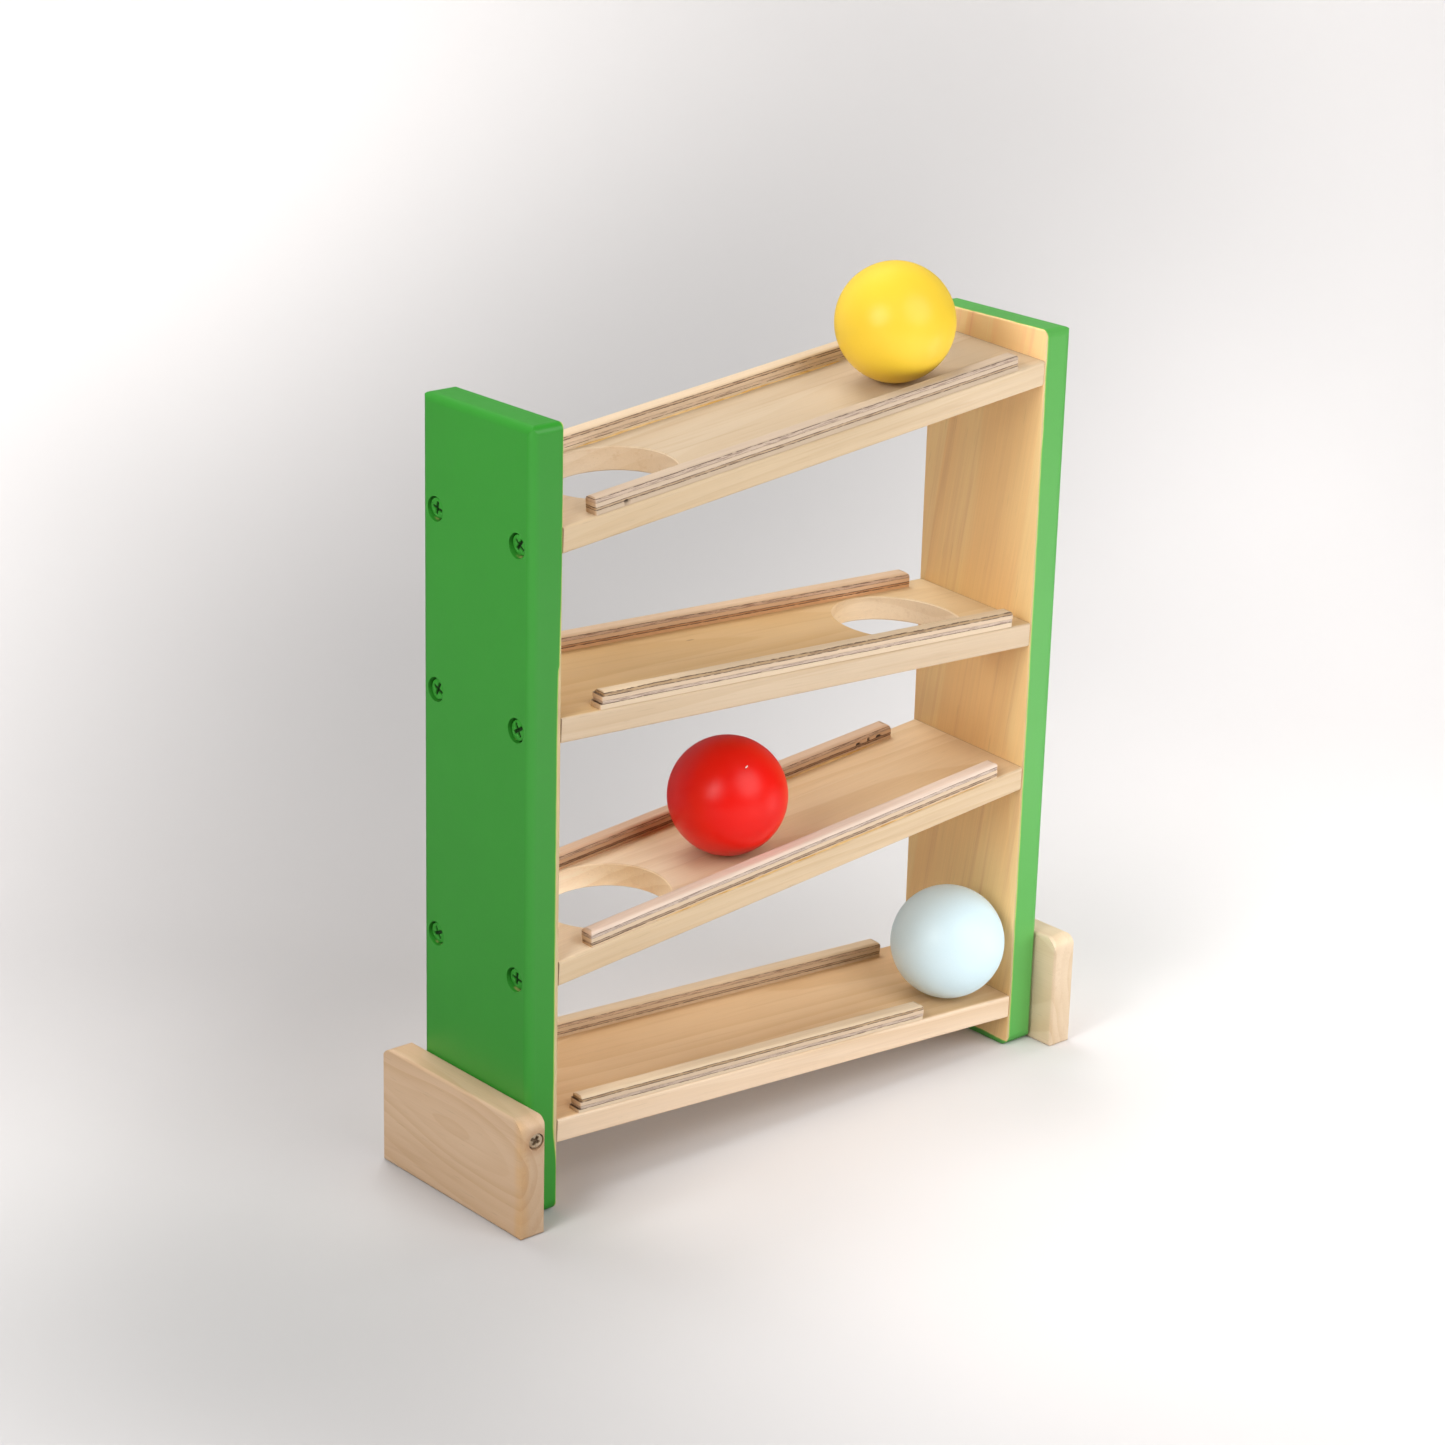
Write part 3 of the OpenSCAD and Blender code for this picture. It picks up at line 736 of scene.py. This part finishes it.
def rail_mesh(
    name, i, row, pale_up, seed, shift=0.0, end_steps=(0.15, 0.15), end_round=(1.0, 1.0), voids=()
):
    """Plywood strip made of outlines stacked from its underside to its top.

    At each height the outline is a long rectangle with eased corners. Its half width is that of
    the strip, less the rounding of the upper edges, a groove at each glue line and the plies' own
    sanded relief; its two ends step in and out from ply to ply and round over at the top. An end's
    steps are one size for chance steps or five sizes from the underside up. shift is how much of
    the pale ply is sanded away, as a share of the height. voids are missing bits of ply on the
    front: place along, height, width, and depth.
    """
    rng = np.random.default_rng(seed)
    gap_left, gap_right = (FRONT_GAPS if row == FRONT else BACK_GAPS)[i]
    half = half_run(i) - (gap_left + gap_right) / 2
    from_pale = np.array(PLY_ENDS[:-1]) - shift
    inner_ends = (1 - from_pale[::-1] if pale_up else from_pale) * RAIL_H

    near = np.array([-0.3, -0.12, -0.05, 0.0, 0.05, 0.12, 0.3])
    arc = RAIL_H - RAIL_EDGE_R * (1 - np.sin(np.linspace(0, np.pi / 2, 9)))
    level = np.concatenate([[0, 0.4], (inner_ends[:, None] + near).ravel(), arc])
    level = np.unique(np.round(level, 3))
    ply = np.searchsorted(inner_ends, level, side="right")
    from_line = np.abs(level[:, None] - inner_ends).min(1)
    groove = np.clip(1 - from_line / GROOVE_HALF, 0, 1)
    over_edge = np.clip(level - (RAIL_H - RAIL_EDGE_R), 0, RAIL_EDGE_R)
    edge_in = RAIL_EDGE_R - np.sqrt(RAIL_EDGE_R**2 - over_edge**2)
    width = RAIL_W / 2 - edge_in - CROSS_BACK * np.isin(ply, CROSS_PLIES)

    station = np.linspace(-half, half, 240)
    for at, _, wide, _ in voids:
        station = np.concatenate([station, at + np.linspace(-0.7, 0.7, 15) * wide])
    station = np.unique(np.round(np.clip(station, -half, half), 3))
    saw = np.array([smooth_noise(rng, station, 3.0, 0.012) for _ in range(5)])[ply]
    depth = np.clip(0.09 + smooth_noise(rng, station, 1.6, 0.03), 0.02, 0.2)
    side = {}
    for face in (FRONT, BACK):
        wave = saw + smooth_noise(rng, station, 14.0, 0.02)
        side[face] = face * (width[:, None] + wave - SIDES_BACK - groove[:, None] * depth)
    missing = np.zeros((len(level), len(station)))
    for at, high, wide, deep in voids:
        in_length = np.clip(1.6 - 3.2 * np.abs(station - at) / wide, 0, 1)
        in_height = np.clip(1.5 - 1.5 * np.abs(level[:, None] - high), 0, 1)
        box = in_length * in_height
        side[FRONT] = side[FRONT] + deep * box
        missing = np.maximum(missing, box)

    reach = {}
    for end, steps, round_r in zip((LEFT, RIGHT), end_steps, end_round):
        stepped = np.array(steps) if np.size(steps) == 5 else rng.uniform(0, steps, 5)
        rise = np.clip(level - (RAIL_H - round_r), 0, round_r)
        round_in = round_r - np.sqrt(round_r**2 - rise**2)
        reach[end] = half - stepped[ply] - groove * 0.1 - round_in

    share = (station + half) / (2 * half)
    first, last = END_EASE - reach[LEFT], reach[RIGHT] - END_EASE
    along = first[:, None] + share * (last - first)[:, None]
    front, back = side[FRONT], side[BACK]
    cut = np.linspace(0, 1, 12)[1:-1]
    right = (front[:, -1:] + END_EASE) * (1 - cut) + (back[:, -1:] - END_EASE) * cut
    left = (back[:, :1] - END_EASE) * (1 - cut) + (front[:, :1] + END_EASE) * cut
    fuzz = 0.02 * rng.standard_normal((2, len(level), len(cut)))
    right_x, left_x = reach[RIGHT][:, None] + fuzz[0], -reach[LEFT][:, None] + fuzz[1]
    x = np.concatenate([along, right_x, along[:, ::-1], left_x], 1)
    y = np.concatenate([front, right, back[:, ::-1], left], 1)
    walls = np.stack([x, y, np.broadcast_to(level[:, None], x.shape)], -1)
    under = walls[:1] * [1, 0, 1]
    tops = [walls[-1:] * [1, keep, 1] for keep in (0.75, 0.5, 0.25, 0.0)]
    rings = np.concatenate([under, walls, *tops])
    local = rings.reshape(-1, 3)
    share_up = local[:, 2] / RAIL_H
    from_pale = (1 - share_up if pale_up else share_up) + shift
    places = np.stack([local[:, 0] + NOISE_APART * seed, local[:, 1], from_pale], 1)
    ends = np.zeros(rings.shape[1])
    ends[len(station):len(station) + len(cut)] = ends[-len(cut):] = 1.0
    # Where ply is missing, for the finish's painted shadow
    void_shadow = np.zeros(rings.shape[:2])
    void_shadow[1:1 + len(level), :len(station)] = missing
    end_cut = np.tile(ends, len(rings))
    layers = {"ply_place": places, "end_cut": end_cut, "void_shadow_share": void_shadow.ravel()}
    across = row * (RAMP_D / 2 - RAIL_SETBACK - RAIL_W / 2)
    local = local + [(gap_left - gap_right) / 2, across, RAMP_T / 2]
    return make_mesh(name, on_ramp(i, local), grid_faces(len(rings), rings.shape[1]), layers)


def glue_bead_mesh(name, i, row, start, stop, size, seed):
    """Dried glue along the front foot of a rail: a quarter round whose legs swell and shrink.

    Along the rail the legs follow smooth noise and run out to nothing at both ends; across it the
    profile goes from the foot's corner out over the plank, round, and up the rail.
    """
    rng = np.random.default_rng(seed)
    count = 260
    station = np.linspace(start, stop, count)
    fade = np.sqrt(np.clip(np.sin(np.linspace(0, np.pi, count)) * 6, 0, 1))
    fade[[0, -1]] = 0.0
    swell = 1 + smooth_noise(rng, station, 9.0, 0.35) + smooth_noise(rng, station, 2.5, 0.12)
    out = np.clip(size * swell, 0.08, None) * fade
    rise = np.clip(size * (0.8 + smooth_noise(rng, station, 7.0, 0.3)), 0.06, None) * fade
    turn = np.linspace(0, np.pi / 2, 9)
    profile_y = np.concatenate([[0.05], -np.cos(turn), [0.05]])
    profile_z = np.concatenate([[-0.05], np.sin(turn), [1.0]])
    y = np.where(profile_y < 0, profile_y * out[:, None], profile_y * fade[:, None])
    z = np.where(profile_z > 0, profile_z * rise[:, None], profile_z * fade[:, None])
    face = row * (RAMP_D / 2 - RAIL_SETBACK - RAIL_W / 2) - RAIL_W / 2
    points = np.stack([np.broadcast_to(station[:, None], y.shape), y + face, z + RAMP_T / 2], -1)
    return make_mesh(name, on_ramp(i, points.reshape(-1, 3)), grid_faces(*y.shape))


def glue_material():
    """Amber wood glue, dried clear and thin."""
    material, w, shader = new_material("dried_glue", Specular_IOR_Level=0.5)
    place = object_place(w)
    thin = w.step(w.noise(place, (0.12, 0.4, 0.4), 2.0), 0.35, 0.65)
    colour = w.mix(thin, (0.62, 0.36, 0.11, 1), (0.74, 0.5, 0.22, 1))
    lumps = w.noise(place, (0.8, 0.8, 0.8), 2.0)
    finish(w, shader, colour, w.blend(thin, 0.25, 0.4), lumps, 0.03)
    return material


# Driver cross of a screw: how deep, the half width of an arm, and its reach by the head's width
CROSS_DEPTH, CROSS_HALF, CROSS_REACH = 1.5, 0.72, 0.37
# Thread: from crest to crest, how far it stands out, and the share of the shank left smooth
THREAD_PITCH, THREAD_OUT, SMOOTH_SHANK = 1.6, 0.4, 0.28


def screw_points(head_d, long, turned):
    """Cross-head wood screw along +Z from its head's top, as rings round its axis.

    The rings go out from the head's centre over a low dome with a cross-shaped sink whose arms
    narrow as they deepen, round the rim, down the head, in under it and along the shank, where
    the radius follows a helix of thread that fades out before the point. The second result is how
    deep in the cross each point lies, as a share.
    """
    angle = np.linspace(0, 2 * np.pi, 72, endpoint=False)
    rim = head_d / 2
    rounding = 1 - 0.16 * (1 - np.sin(np.linspace(0, np.pi / 2, 6)[1:]))
    out = np.concatenate([np.linspace(0, 0.84, 24), rounding]) * rim
    dome = 0.3 * (out / rim) ** 4 - HEAD_PROUD
    x, y = out[:, None] * np.cos(angle), out[:, None] * np.sin(angle)
    arm = CROSS_REACH * head_d

    def arm_sink(a, b):
        in_width = np.clip((CROSS_HALF - np.abs(b)) / 0.3, 0, 1)
        in_length = np.clip((arm - np.abs(a)) / 0.45, 0, 1)
        return CROSS_DEPTH * in_width * in_length * (1 - 0.35 * np.abs(a) / arm)

    sink = np.maximum(arm_sink(x, y), arm_sink(y, x))
    head = np.stack([x, y, dome[:, None] + sink], -1)
    shank_down = np.linspace(HEAD_H + 0.4, HEAD_H + long - 0.2, 72)
    down = np.concatenate([[1.2, HEAD_H, HEAD_H], shank_down, [HEAD_H + long]])
    past = np.clip(down - HEAD_H, 0, None) / long
    core = np.where(down <= HEAD_H, rim, SCREW_D / 2 - THREAD_OUT)
    core[2] = SCREW_D / 2
    lead = np.clip((past - SMOOTH_SHANK) / 0.05, 0, 1)
    taper = np.clip((1 - past) / 0.2, 0.03, 1)
    ridge = 0.5 + 0.5 * np.cos(angle - 2 * np.pi * down[:, None] / THREAD_PITCH)
    threaded = lead[:, None] * ridge**3
    thread = THREAD_OUT * np.where(past[:, None] < SMOOTH_SHANK, 1.0, threaded)
    radius = (core[:, None] + np.where(past[:, None] > 0, thread, 0)) * taper[:, None]
    radius[-1] = 0
    depth = np.broadcast_to(down[:, None], radius.shape)
    shank = np.stack([radius * np.cos(angle), radius * np.sin(angle), depth], -1)
    rings = np.concatenate([head, shank]) @ turn_about("Z", turned).T
    return rings, np.concatenate([sink.ravel() / CROSS_DEPTH, np.zeros(radius.size)])


def screws_mesh(name, screws):
    """One mesh of several screws, each a grid of rings closed round its axis."""
    points = np.concatenate([rings.reshape(-1, 3) for rings, _ in screws])
    cross = np.concatenate([share for _, share in screws])
    one = grid_faces(*screws[0][0].shape[:2])
    faces = np.concatenate([one + k * len(points) // len(screws) for k in range(len(screws))])
    return make_mesh(name, points, faces, {"driver_cross": cross})


def side_screws(side):
    """The eight ramp screws of one board, each lying along its plank with its head sunk."""
    turns = np.radians([38, 12, 55, 20, 8, 62, 30, 47])
    made = []
    for k in range(8):
        i, across = k // 2, FRONT if k % 2 == 0 else BACK
        rings, cross = screw_points(HEAD_D, SCREW_L, turns[k])
        rings = (rings + [0, 0, RECESS_DEPTH - HEAD_H]) @ turn_about("Y", -side * math.pi / 2).T
        on_end = [side * OUTER_X / math.cos(slope(i)), across * SCREW_SPREAD / 2, 0]
        made.append((on_ramp(i, rings + on_end), cross))
    return made


def foot_screws():
    """One slanting screw in the end of each foot."""
    made = []
    for side in (LEFT, RIGHT):
        rings, cross = screw_points(FOOT_HEAD_D, FOOT_SCREW_L, 0.5)
        rings = rings + [0, 0, FOOT_RECESS_DEPTH - HEAD_H]
        tilt = turn_about("Y", -FOOT_SCREW_ANGLE * side)
        rings = rings @ (turn_about("X", side * math.pi / 2) @ tilt).T
        on_end = [side * (OUTER_X + FOOT_SCREW_IN), side * FOOT_L / 2, FOOT_SCREW_Z]
        made.append((rings + on_end, cross))
    return made


# How far out the screws of the boards start to be painted, and are quite painted
SCREW_PAINT = (OUTER_X - 5.4, OUTER_X - 5.0)


def painted_screw_material():
    """Board paint over the screw heads, dark in the driver cross as painted shade, with bare metal
    shanks.
    """
    material, w, shader = new_material("painted_screw_heads", Specular_IOR_Level=0.45)
    place = object_place(w)
    film = use_group(w, paint_film, Place=place, Paint=GREEN[LEFT], Cloudiness=0.1)
    x = w.math("ABSOLUTE", w.split(place)["X"])
    painted = w.step(x, *SCREW_PAINT)
    # Dark in the driver cross: painted shade
    cross = w.step(w.attribute("driver_cross"), 0.15, 0.5, 0.0, 0.9)
    paint = w.mix(cross, film["Color"], srgb(26, 42, 20))
    colour = w.mix(painted, srgb(150, 148, 142), paint)
    w.put(shader.inputs["Metallic"], w.minus(1.0, painted))
    finish(w, shader, colour, film["Roughness"], film["Height"], 0.02)
    return material


def steel_screw_material():
    """Zinc-plated steel, a little dull and mottled, with fine marks, and dark in its driver cross
    as painted shade.
    """
    material, w, shader = new_material("bright_screw_steel", Metallic=0.45)
    place = object_place(w)
    mottle = w.noise(place, (1.1, 1.1, 1.1), 3.0)
    # Dark in the driver cross: painted shade
    cross = w.step(w.attribute("driver_cross"), 0.15, 0.6, 0.0, 0.75)
    plate = w.mix(mottle, srgb(176, 152, 122), srgb(224, 206, 178))
    colour = w.mix(cross, plate, srgb(104, 78, 54))
    marks = w.noise(place, (6.0, 6.0, 6.0), 2.0)
    finish(w, shader, colour, w.math("MULTIPLY_ADD", mottle, 0.2, 0.32), marks, 0.01)
    return material


finish_ramps()
for side, word in SIDE_WORD.items():
    dress(f"{word}_side_board", board_material(side))
    dress(f"{word}_foot", foot_material(side))
for ball, (paint, middle) in BALLS.items():
    dress(ball, ball_material(ball, paint, middle))

# Left end of two rails, ply by ply from the underside, and bits of ply missing from two others
COMB_LEFT = (0.0, 0.85, 0.45, 1.3, 1.0)
TOP_VOID = ((-87.8, 1.2, 3.0, 1.6),)
DARK_VOIDS = ((84.0, 2.5, 3.2, 0.9), (89.5, 2.9, 2.2, 0.7), (95.0, 2.6, 3.8, 0.8))
# Rails: ramp, row on the plank, whether the pale ply is on top, panel, and their own marks
RAILS = (
    (0, FRONT, True, "top_birch_ply", dict(shift=0.09, voids=TOP_VOID)),
    (0, BACK, False, "pale_ply", dict(shift=-0.05)),
    (1, FRONT, False, "birch_ply", dict(shift=-0.17, end_steps=(COMB_LEFT, 0.2))),
    (1, BACK, True, "orange_ply", dict(end_round=(1.0, 2.6))),
    (2, FRONT, True, "pink_ply", dict(shift=-0.06, end_steps=(0.3, 0.2), end_round=(1.4, 1.0))),
    (2, BACK, True, "dark_ply", dict(end_round=(1.0, 2.8), voids=DARK_VOIDS)),
    (3, FRONT, False, "birch_ply", dict(
        shift=-0.06, end_steps=(COMB_LEFT, 0.2), end_round=(0.5, 1.8),
    )),
    (3, BACK, True, "tan_ply", dict(end_round=(1.0, 2.2))),
)
panels = {name: ply_material(name, *colours) for name, colours in PLY_PANELS.items()}
for seed, (i, row, pale_up, panel, marks) in enumerate(RAILS, 1):
    node = f"ramp_{i + 1}_{ROW_WORD[row]}_rail"
    mesh = rail_mesh(node + "_ply", i, row, pale_up, seed, **marks)
    make_piece(node + "_ply", mesh, panels[panel], "rail_plywood", node)

# Glue squeezed out under three of the rails: ramp, row on the plank, from, to, size
GLUE_BEADS = (
    (0, BACK, -66.0, 62.0, 0.5), (2, FRONT, -70.0, 96.0, 0.3), (2, BACK, 5.0, 92.0, 0.45),
)
glue = glue_material()
for seed, (i, row, start, stop, size) in enumerate(GLUE_BEADS, 21):
    name = f"ramp_{i + 1}_{ROW_WORD[row]}_glue"
    mesh = glue_bead_mesh(name, i, row, start, stop, size, seed)
    make_piece(name, mesh, glue, "rail_plywood")

painted_heads = painted_screw_material()
for side, word in SIDE_WORD.items():
    mesh = screws_mesh(f"{word}_ramp_screws", side_screws(side))
    make_piece(f"{word}_ramp_screws", mesh, painted_heads, "painted_screws", f"{word}_side_screws")
mesh = screws_mesh("foot_end_screws", foot_screws())
make_piece("foot_end_screws", mesh, steel_screw_material(), "steel_screws", "foot_screws")

# The paper sweep: where its bend starts, in metres, and how far it is turned
SWEEP_PLACE = (0.12, 0.26, 0.0)
SWEEP_TURN = math.radians(-16.0)
# Tone of the paper at the bend, its change per millimetre across and along as a painted fall-off
# of light, its most, and its tint
PAPER_TONE, PAPER_ACROSS, PAPER_ALONG, PAPER_MOST = 0.95, -0.000196, 0.000058, 0.92
PAPER_TINT = (1.0, 0.972, 0.963, 1)
# Its soft areas of painted light and painted shadow, the shadow mostly behind and left of the run:
# amount, middle across and along it, and reach, in millimetres
PAINTED_LIGHT_AND_SHADOW = (
    (-0.31, (292.0, 552.0), (434.0, 386.0)),
    (-0.53, (35.0, 239.0), (533.0, 453.0)),
    (0.5, (-29.0, -380.0), (286.0, 288.0)),
    (-0.67, (-168.0, -312.0), (568.0, 633.0)),
    (0.16, (-307.0, -223.0), (219.0, 208.0)),
)
# Share of its tone that gloss picks up behind the first place along it and before the second
GLOSS_SHARES, GLOSS_PLACES = (0.2, 0.55), (-300.0, -700.0)
# Middle of its lit part, how far off it starts to look plain and is quite plain, and that colour
PAPER_MIDDLE, FAR_PAPER = (250.0, 200.0, 100.0), (730.0, 1150.0)
PLAIN_PAPER = (0.9, 0.885, 0.878, 1)


def backdrop_mesh():
    """Floor, quarter turn and wall as one profile in metres, carried sideways."""
    bend, floor_out, wall_up = 0.35, 3.0, 3.0
    arc = np.linspace(0, np.pi / 2, 24)
    back = np.concatenate([[-floor_out], bend * np.sin(arc), [bend]])
    up = np.concatenate([[0.0], bend * (1 - np.cos(arc)), [wall_up]])
    wide = np.array([-4.0, 4.0])
    points = np.stack(np.broadcast_arrays(wide, back[:, None], up[:, None]), -1)
    points = points.reshape(-1, 3) @ turn_about("Z", SWEEP_TURN).T + SWEEP_PLACE
    rows = np.arange(len(back) - 1)[:, None] * 2
    faces = np.concatenate([rows, rows + 1, rows + 3, rows + 2], 1)
    mesh = bpy.data.meshes.new("backdrop")
    mesh.from_pydata(points.tolist(), [], faces.tolist())
    mesh.shade_smooth()
    return mesh


def backdrop_material():
    """Pale matt paper with a slow painted fall-off of light and painted shadow behind the run,
    that also keeps the run's own shadow.

    Far from the run the camera sees it as plain pale paper, and from behind it isn't there.
    """
    material, w, shader = new_material("backdrop_paper", Roughness=0.9, Specular_IOR_Level=0.1)
    place = object_place(w, np.array(SWEEP_PLACE) / MM, (0, 0, SWEEP_TURN))
    across, back, up = w.split(place)[0:3]
    along = w.plus(back, up)
    tone = w.math("MULTIPLY_ADD", across, PAPER_ACROSS, PAPER_TONE)
    tone = w.math("MULTIPLY_ADD", along, PAPER_ALONG, tone)
    flat = w.add("ShaderNodeCombineXYZ", {0: across, 1: along}).outputs[0]
    # Soft areas of painted light and painted shadow
    for amount, middle, reach in PAINTED_LIGHT_AND_SHADOW:
        off = w.vector("SUBTRACT", flat, (*middle, 0))
        off = w.vector("MULTIPLY", off, (1 / reach[0], 1 / reach[1], 0))
        tone = w.math("MULTIPLY_ADD", w.step(w.vector("LENGTH", off), 1.0, 0.0), amount, tone)
    tone = w.math("MINIMUM", tone, PAPER_MOST)
    in_gloss = w.add("ShaderNodeLightPath").outputs["Is Glossy Ray"]
    share = w.step(back, *GLOSS_PLACES, *GLOSS_SHARES)
    tone = w.times(tone, w.blend(in_gloss, 1.0, share))
    w.put(shader.inputs["Base Color"], w.shade(PAPER_TINT, tone))
    bump(w, shader, w.noise(place, (0.4, 0.4, 0.4), 2.0), 0.02)
    from_run = w.vector("DISTANCE", object_place(w), PAPER_MIDDLE)
    to_camera = w.add("ShaderNodeLightPath").outputs["Is Camera Ray"]
    far = w.times(w.step(from_run, *FAR_PAPER), to_camera)
    plain = w.add("ShaderNodeEmission", {"Color": PLAIN_PAPER, "Strength": 1.0}).outputs[0]
    paper = w.add("ShaderNodeMixShader", {0: far, 1: shader.outputs[0], 2: plain}).outputs[0]
    behind = w.add("ShaderNodeNewGeometry").outputs["Backfacing"]
    clear = w.add("ShaderNodeBsdfTransparent").outputs[0]
    seen = w.add("ShaderNodeMixShader", {0: behind, 1: paper, 2: clear}).outputs[0]
    w.put(material.node_tree.nodes["Material Output"].inputs["Surface"], seen)
    return material


backdrop = put_in_scene("backdrop", backdrop_mesh())
backdrop.data.materials.append(backdrop_material())


def facing(place, aim, roll=0.0):
    """Matrix at a place that looks at an aim, turned about the line of sight by a roll."""
    ahead = (np.array(aim) - place) / np.linalg.norm(np.array(aim) - place)
    right = np.cross(ahead, [0, 0, 1.0])
    right /= np.linalg.norm(right)
    above = np.cross(right, ahead)
    tilted = math.cos(roll) * right + math.sin(roll) * above
    upright = math.cos(roll) * above - math.sin(roll) * right
    matrix = np.eye(4)
    matrix[:3] = np.stack([tilted, upright, -ahead, place], 1)
    return Matrix(matrix.tolist())


# Soft boxes and fill lamps: place, aim, size, power in watts, and whether gloss shows them
LAMPS = {
    "left_soft_box": ((-1.2, -0.32, 0.8), (0, 0, 0.18), 0.8, 9.5, True),
    "left_near_box": ((-0.55, -0.1, 0.62), (-0.13, 0, 0.27), 0.2, 1.2, False),
    "front_soft_box": ((0.14, -0.95, 0.82), (0.05, 0, 0.15), 1.0, 7.7, True),
    "back_top_box": ((0.08, 0.42, 1.05), (0, 0, 0.1), 0.6, 6.1, False),
    "back_right_box": ((1.1, -0.1, 0.62), (0, 0, 0.1), 0.5, 3.1, False),
    "right_low_fill": ((0.36, -0.3, 0.07), (0.1, 0, 0.08), 0.22, 0.74, False),
    "front_low_fill": ((0.08, -0.55, 0.05), (0.05, 0, 0.12), 0.3, 0.45, False),
    "front_left_low_fill": ((-0.2, -0.6, 0.06), (0, 0, 0.15), 0.3, 0.2, False),
}
for name, (place, aim, size, watts, in_gloss) in LAMPS.items():
    lamp = bpy.data.lights.new(name, "AREA")
    lamp.shape = "DISK"
    lamp.size = size
    lamp.energy = watts
    holder = put_in_scene(name, lamp)
    holder.matrix_world = facing(place, aim)
    holder.visible_glossy = in_gloss
    holder.visible_camera = False

# Strength of the white round the stage, as light and as the camera sees it
SKY_LIGHT, SKY_SEEN = 0.03, 0.9
world = bpy.data.worlds.new("studio")
world.use_nodes = True
background = world.node_tree.nodes["Background"]
background.inputs["Color"].default_value = (1.0, 1.0, 1.0, 1)
sky = Wiring(world.node_tree)
to_camera = sky.add("ShaderNodeLightPath").outputs["Is Camera Ray"]
sky.put(background.inputs["Strength"], sky.blend(to_camera, SKY_LIGHT, SKY_SEEN))
bpy.context.scene.world = world

# Camera at the photograph's angle: place and aim in metres, and roll
CAMERA_PLACE = (-0.83772, -0.93547, 0.59736)
CAMERA_AIM = (-0.00883, 0.00605, 0.15375)
CAMERA_ROLL = math.radians(1.504)
camera = bpy.data.cameras.new("camera")
camera.sensor_width = 36.0
camera.lens = 89.14
camera.clip_start, camera.clip_end = 0.05, 50.0
camera_holder = put_in_scene("camera", camera)
camera_holder.matrix_world = facing(CAMERA_PLACE, CAMERA_AIM, CAMERA_ROLL)
bpy.context.scene.camera = camera_holder
bpy.context.scene.view_settings.view_transform = "Standard"
